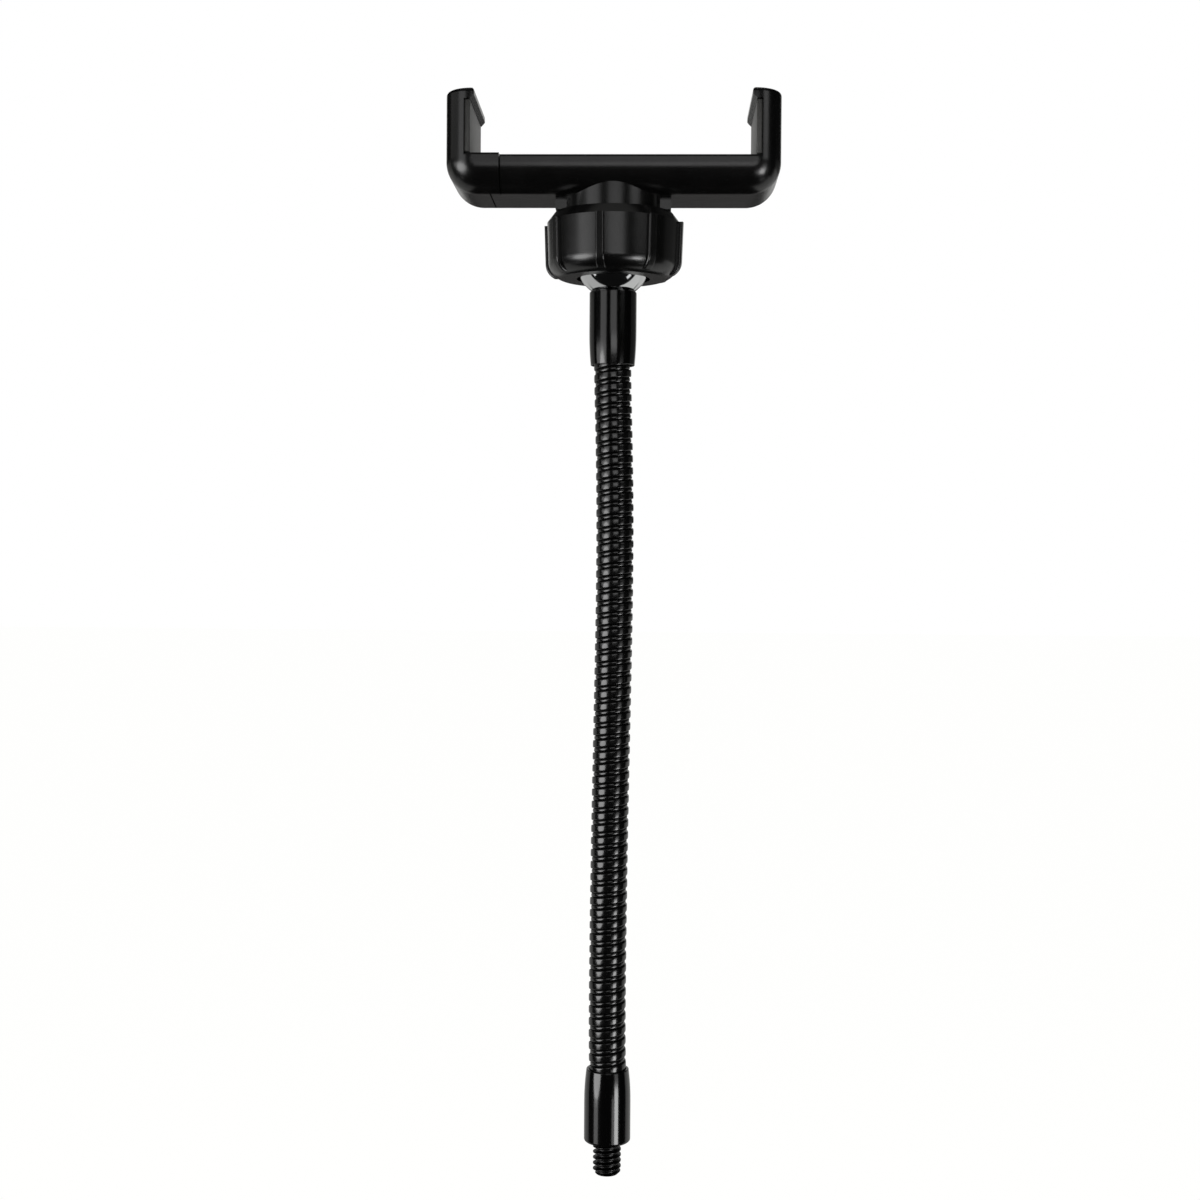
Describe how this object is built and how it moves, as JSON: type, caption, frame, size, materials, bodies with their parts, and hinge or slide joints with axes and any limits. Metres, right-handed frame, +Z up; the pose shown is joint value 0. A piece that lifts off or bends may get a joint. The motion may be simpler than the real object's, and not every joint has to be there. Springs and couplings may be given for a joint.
{
  "type": "phone gooseneck holder",
  "caption": "Spring-loaded phone clamp on a lockable ball joint and a bendable wound-steel neck, with a threaded stud at the foot to screw it to a stand.",
  "frame": {"origin": "middle of the shoulder above the threaded stud, where the stud's seat stops", "axes": "+Z up along the straight neck to the clamp, X across the phone with the sliding jaw at -X, -Y the side that the picture shows"},
  "size_m": [0.0738, 0.0314, 0.2418],
  "materials": {
    "black_painted_steel": "glossy black coating",
    "blackened_steel": "black oxide, satin",
    "chromed_steel": "polished",
    "black_abs": "moulded, satin",
    "black_rubber": "matt",
    "spring_steel": "bright zinc"
  },
  "bodies": {
    "base": {"stud": "blackened_steel", "lower_ferrule": "black_painted_steel", "neck_segment_1": "black_painted_steel"},
    "neck_link_2": {"neck_segment_2": "black_painted_steel"},
    "neck_link_3": {"neck_segment_3": "black_painted_steel"},
    "neck_link_4": {"neck_segment_4": "black_painted_steel"},
    "neck_link_5": {"neck_segment_5": "black_painted_steel"},
    "neck_link_6": {"neck_segment_6": "black_painted_steel"},
    "neck_link_7": {"neck_segment_7": "black_painted_steel"},
    "neck_link_8": {"neck_segment_8": "black_painted_steel"},
    "neck_link_9": {"neck_segment_9": "black_painted_steel", "upper_ferrule": "black_painted_steel"},
    "ball": {"ball_stud": "chromed_steel"},
    "nut": {"ring_nut": "black_abs"},
    "head": {"clamp_body": "black_abs", "right_jaw_pad": "black_rubber", "rest_pad": "black_rubber", "stop_screw": "spring_steel", "body_spring_pin": "spring_steel", "front_spring": "spring_steel", "rear_spring": "spring_steel"},
    "jaw": {"sliding_jaw": "black_abs", "left_jaw_pad": "black_rubber", "jaw_spring_pin": "spring_steel"}
  },
  "joints": [
    {"name": "neck_bend_1_side", "type": "hinge", "parent": "base", "child": "neck_link_2", "pos_m": [0, 0, 0.02493], "axis": [0, 1, 0], "range_deg": [-25, 25]},
    {"name": "neck_bend_2_fore", "type": "hinge", "parent": "neck_link_2", "child": "neck_link_3", "pos_m": [0, 0, 0.0441], "axis": [1, 0, 0], "range_deg": [-25, 25]},
    {"name": "neck_bend_3_side", "type": "hinge", "parent": "neck_link_3", "child": "neck_link_4", "pos_m": [0, 0, 0.06327], "axis": [0, 1, 0], "range_deg": [-25, 25]},
    {"name": "neck_bend_4_fore", "type": "hinge", "parent": "neck_link_4", "child": "neck_link_5", "pos_m": [0, 0, 0.08243], "axis": [1, 0, 0], "range_deg": [-25, 25]},
    {"name": "neck_bend_5_side", "type": "hinge", "parent": "neck_link_5", "child": "neck_link_6", "pos_m": [0, 0, 0.1016], "axis": [0, 1, 0], "range_deg": [-25, 25]},
    {"name": "neck_bend_6_fore", "type": "hinge", "parent": "neck_link_6", "child": "neck_link_7", "pos_m": [0, 0, 0.12076], "axis": [1, 0, 0], "range_deg": [-25, 25]},
    {"name": "neck_bend_7_side", "type": "hinge", "parent": "neck_link_7", "child": "neck_link_8", "pos_m": [0, 0, 0.13993], "axis": [0, 1, 0], "range_deg": [-25, 25]},
    {"name": "neck_bend_8_fore", "type": "hinge", "parent": "neck_link_8", "child": "neck_link_9", "pos_m": [0, 0, 0.1591], "axis": [1, 0, 0], "range_deg": [-25, 25]},
    {"name": "ball_swivel", "type": "hinge", "parent": "neck_link_9", "child": "ball", "pos_m": [0, 0, 0.19897], "axis": [0, 0, 1], "continuous": true},
    {"name": "head_tilt", "type": "hinge", "parent": "ball", "child": "nut", "pos_m": [0, 0, 0.19897], "axis": [1, 0, 0], "range_deg": [-25, 25]},
    {"name": "head_turn", "type": "hinge", "parent": "nut", "child": "head", "pos_m": [0, 0, 0.19897], "axis": [0, 0, 1], "continuous": true},
    {"name": "jaw_slide", "type": "slide", "parent": "head", "child": "jaw", "axis": [-1, 0, 0], "range_m": [0, 0.028], "stiffness_N_per_m": 180, "springref_m": -0.03, "deforming": ["front_spring", "rear_spring"]}
  ]
}
